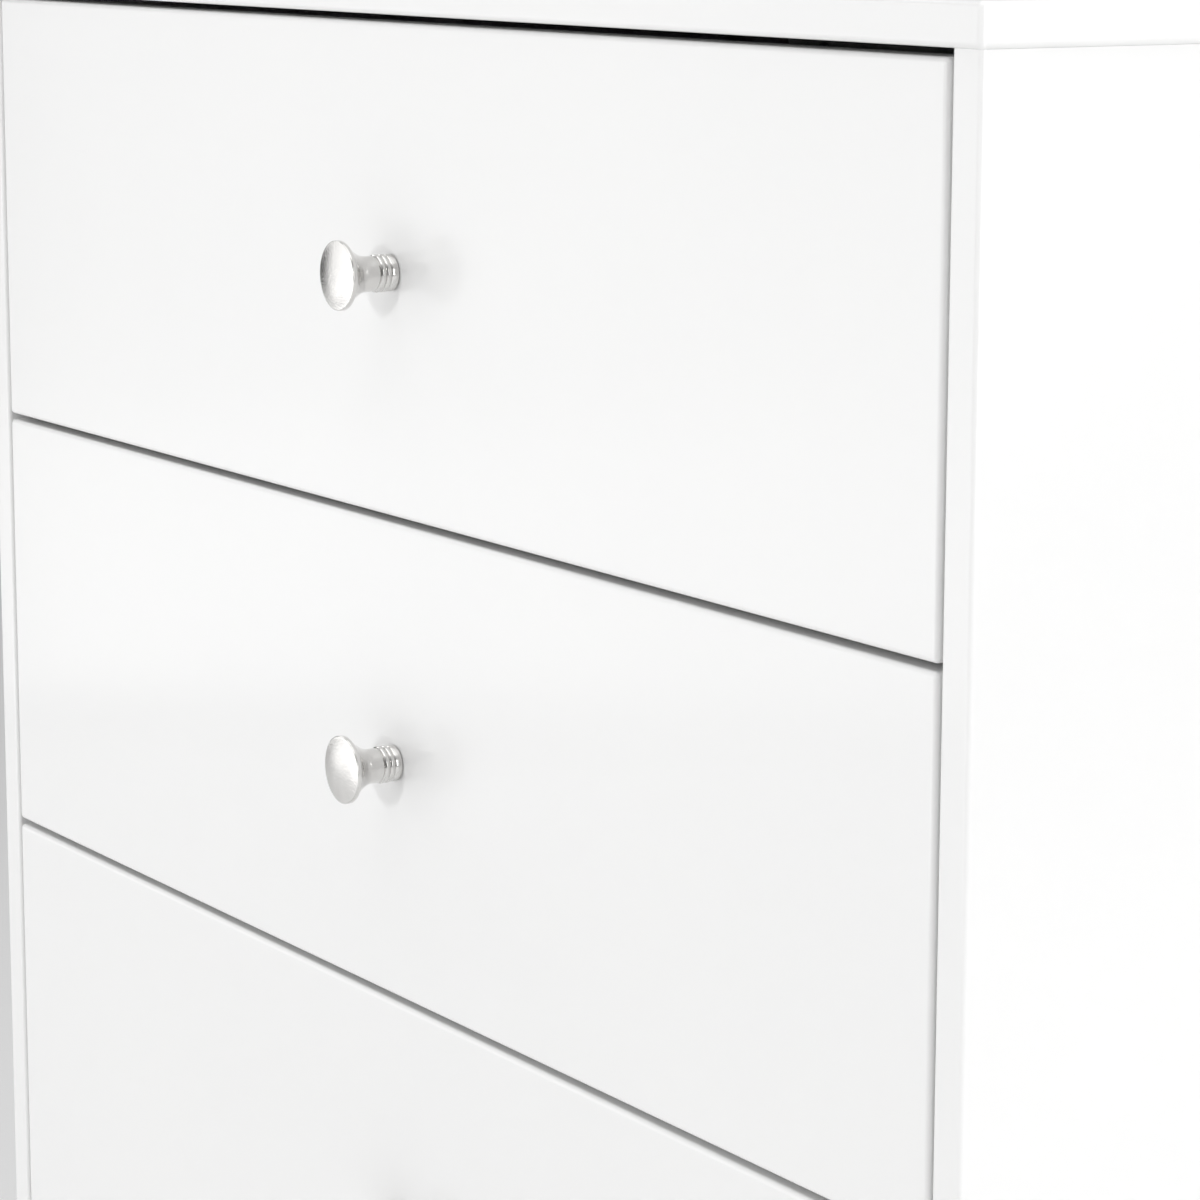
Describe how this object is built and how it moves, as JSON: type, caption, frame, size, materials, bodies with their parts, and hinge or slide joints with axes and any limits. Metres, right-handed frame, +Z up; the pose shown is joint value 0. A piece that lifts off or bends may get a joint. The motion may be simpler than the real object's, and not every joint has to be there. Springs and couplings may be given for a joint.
{
  "type": "tall chest of drawers",
  "caption": "Tall white chest with a thin overhanging top and inset full-width drawers, each with one small turned metal knob at about the middle of its front.",
  "frame": {"origin": "on the floor, under the middle of the whole chest with its knobs", "axes": "+Z up, drawer fronts face -Y, +X to the right seen from the front of the fronts looking along +Y"},
  "size_m": [0.8, 0.5252, 1.1501],
  "materials": {
    "white_foil": "white melamine foil on particle board, semi-gloss",
    "drawer_box_foil": "white foil on particle board, satin",
    "white_hardboard": "hardboard with a white printed face, matt",
    "white_plastic": "moulded, slightly shiny",
    "polished_nickel": "nickel-plated, polished, turned",
    "zinc_plated_steel": "bright zinc plating"
  },
  "bodies": {
    "case": {"left_side_panel": "white_foil", "right_side_panel": "white_foil", "top_panel": "white_foil", "bottom_panel": "white_foil", "plinth_front": "white_foil", "plinth_rear": "white_foil", "top_rear_rail": "white_foil", "middle_rail": "white_foil", "back_panel_upper": "white_hardboard", "back_panel_lower": "white_hardboard", "back_joint_strip": "white_plastic", "wall_anchor_bracket": "zinc_plated_steel", "runner_1_left": "white_plastic", "runner_1_right": "white_plastic", "runner_2_left": "white_plastic", "runner_2_right": "white_plastic", "runner_3_left": "white_plastic", "runner_3_right": "white_plastic", "runner_4_left": "white_plastic", "runner_4_right": "white_plastic", "runner_5_left": "white_plastic", "runner_5_right": "white_plastic"},
    "drawer_1": {"drawer_1_front": "white_foil", "drawer_1_left_side": "drawer_box_foil", "drawer_1_right_side": "drawer_box_foil", "drawer_1_back": "drawer_box_foil", "drawer_1_bottom": "white_hardboard", "drawer_1_knob": "polished_nickel", "drawer_1_knob_screw": "zinc_plated_steel"},
    "drawer_2": {"drawer_2_front": "white_foil", "drawer_2_left_side": "drawer_box_foil", "drawer_2_right_side": "drawer_box_foil", "drawer_2_back": "drawer_box_foil", "drawer_2_bottom": "white_hardboard", "drawer_2_knob": "polished_nickel", "drawer_2_knob_screw": "zinc_plated_steel"},
    "drawer_3": {"drawer_3_front": "white_foil", "drawer_3_left_side": "drawer_box_foil", "drawer_3_right_side": "drawer_box_foil", "drawer_3_back": "drawer_box_foil", "drawer_3_bottom": "white_hardboard", "drawer_3_knob": "polished_nickel", "drawer_3_knob_screw": "zinc_plated_steel"},
    "drawer_4": {"drawer_4_front": "white_foil", "drawer_4_left_side": "drawer_box_foil", "drawer_4_right_side": "drawer_box_foil", "drawer_4_back": "drawer_box_foil", "drawer_4_bottom": "white_hardboard", "drawer_4_knob": "polished_nickel", "drawer_4_knob_screw": "zinc_plated_steel"},
    "drawer_5": {"drawer_5_front": "white_foil", "drawer_5_left_side": "drawer_box_foil", "drawer_5_right_side": "drawer_box_foil", "drawer_5_back": "drawer_box_foil", "drawer_5_bottom": "white_hardboard", "drawer_5_knob": "polished_nickel", "drawer_5_knob_screw": "zinc_plated_steel"}
  },
  "joints": [
    {"name": "drawer_1_slide", "type": "slide", "parent": "case", "child": "drawer_1", "axis": [0, -1, 0], "range_m": [0, 0.32]},
    {"name": "drawer_2_slide", "type": "slide", "parent": "case", "child": "drawer_2", "axis": [0, -1, 0], "range_m": [0, 0.32]},
    {"name": "drawer_3_slide", "type": "slide", "parent": "case", "child": "drawer_3", "axis": [0, -1, 0], "range_m": [0, 0.32]},
    {"name": "drawer_4_slide", "type": "slide", "parent": "case", "child": "drawer_4", "axis": [0, -1, 0], "range_m": [0, 0.32]},
    {"name": "drawer_5_slide", "type": "slide", "parent": "case", "child": "drawer_5", "axis": [0, -1, 0], "range_m": [0, 0.32]}
  ]
}
